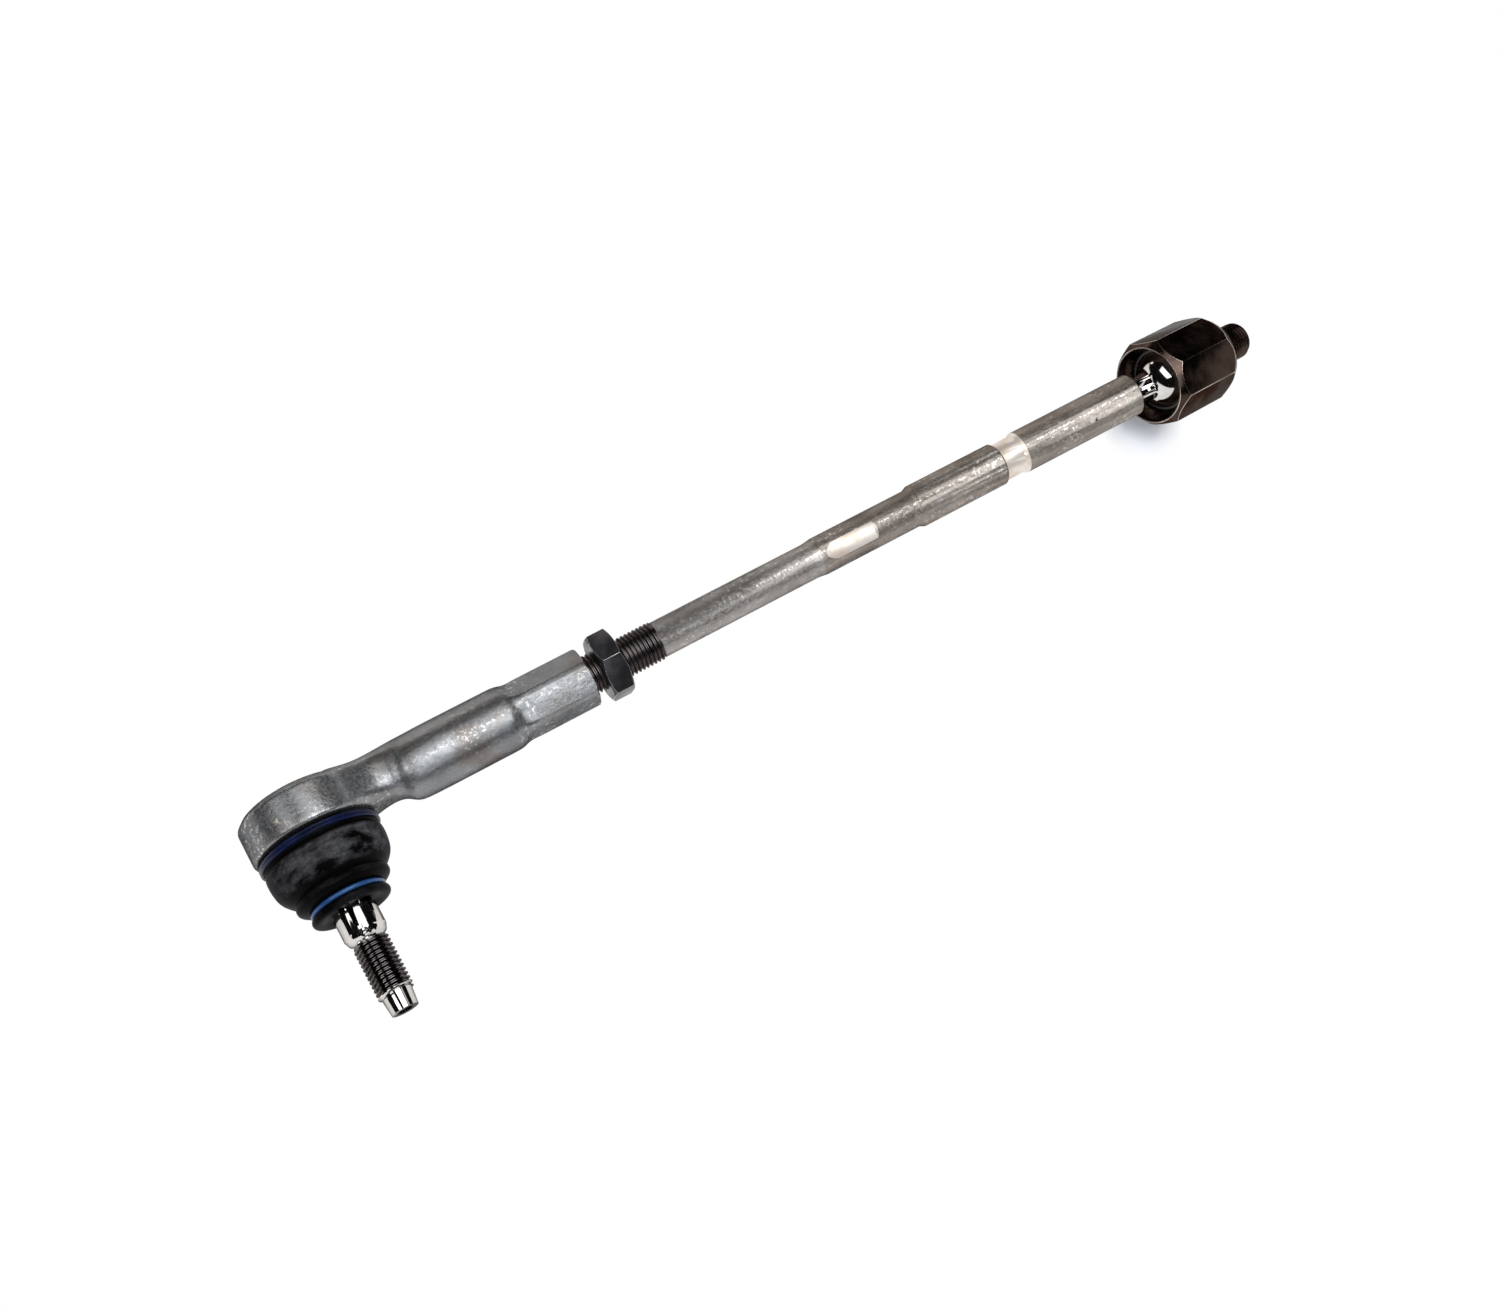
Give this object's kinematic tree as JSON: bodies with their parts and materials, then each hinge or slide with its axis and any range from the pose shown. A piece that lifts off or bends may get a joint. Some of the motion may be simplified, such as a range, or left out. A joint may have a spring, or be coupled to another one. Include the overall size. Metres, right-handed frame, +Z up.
{
  "type": "tie rod",
  "caption": "Steering tie rod: a stepped steel rod with a screwed-on ball joint end, rubber boot and locknut, and an octagonal inner axial ball joint.",
  "frame": {"origin": "on the surface that the part lies on, under the middle of its box", "axes": "+X along the rod from the outer ball joint to the inner one, +Z up, and the outer stud points towards -Y"},
  "size_m": [0.411, 0.0874, 0.0436],
  "materials": {
    "forged_rod": "bare forged and turned steel, satin",
    "forged_end": "grey phosphated forging, satin",
    "phosphated_nut": "dark phosphate",
    "oiled_housing": "brown-black oiled finish with bright edges",
    "bright_steel": "ground and polished",
    "plated_cover": "pressed sheet",
    "rubber_black": "matt with grey dust",
    "ring_navy": "dark blue coated spring wire",
    "ring_blue": "blue coated spring wire",
    "seat_plastic": "moulded bearing plastic"
  },
  "bodies": {
    "rod": {"tie_rod_shaft": "forged_rod"},
    "nut": {"locknut": "phosphated_nut"},
    "outer_end": {"outer_end_body": "forged_end", "outer_cover_plate": "plated_cover"},
    "outer_bearing": {"outer_ball_seat": "seat_plastic", "dust_boot": "rubber_black", "boot_ring_large": "ring_navy"},
    "boot_lip": {"boot_ring_small": "ring_blue"},
    "stud": {"ball_stud": "bright_steel"},
    "inner_bearing": {"inner_ball_seat": "seat_plastic"},
    "housing": {"inner_housing": "oiled_housing"}
  },
  "joints": [
    {"name": "locknut_travel", "type": "slide", "parent": "rod", "child": "nut", "axis": [1, 0, -0.0051], "range_m": [-0.004, 0.014]},
    {"name": "outer_end_turn", "type": "hinge", "parent": "rod", "child": "outer_end", "pos_m": [-0.18428, 0.02566, 0.02183], "axis": [1, 0, -0.0051], "continuous": true},
    {"name": "outer_swivel", "type": "hinge", "parent": "outer_end", "child": "outer_bearing", "pos_m": [-0.18428, 0.02084, 0.02129], "axis": [-0.0006, -0.9939, -0.1102], "continuous": true},
    {"name": "outer_tilt", "type": "hinge", "parent": "outer_bearing", "child": "boot_lip", "pos_m": [-0.18428, 0.02084, 0.02129], "axis": [1, 0, -0.0051], "range_deg": [-25, 25], "deforming": ["dust_boot"]},
    {"name": "stud_spin", "type": "hinge", "parent": "boot_lip", "child": "stud", "pos_m": [-0.18428, 0.02084, 0.02129], "axis": [-0.0006, -0.9939, -0.1102], "continuous": true},
    {"name": "inner_tilt", "type": "hinge", "parent": "rod", "child": "inner_bearing", "pos_m": [0.16471, 0.02566, 0.02005], "axis": [0.0022, 0.905, 0.4254], "range_deg": [-38.74, 5.26]},
    {"name": "housing_spin", "type": "hinge", "parent": "inner_bearing", "child": "housing", "pos_m": [0.16471, 0.02566, 0.02005], "axis": [0.9563, 0.1226, -0.2656], "continuous": true}
  ]
}
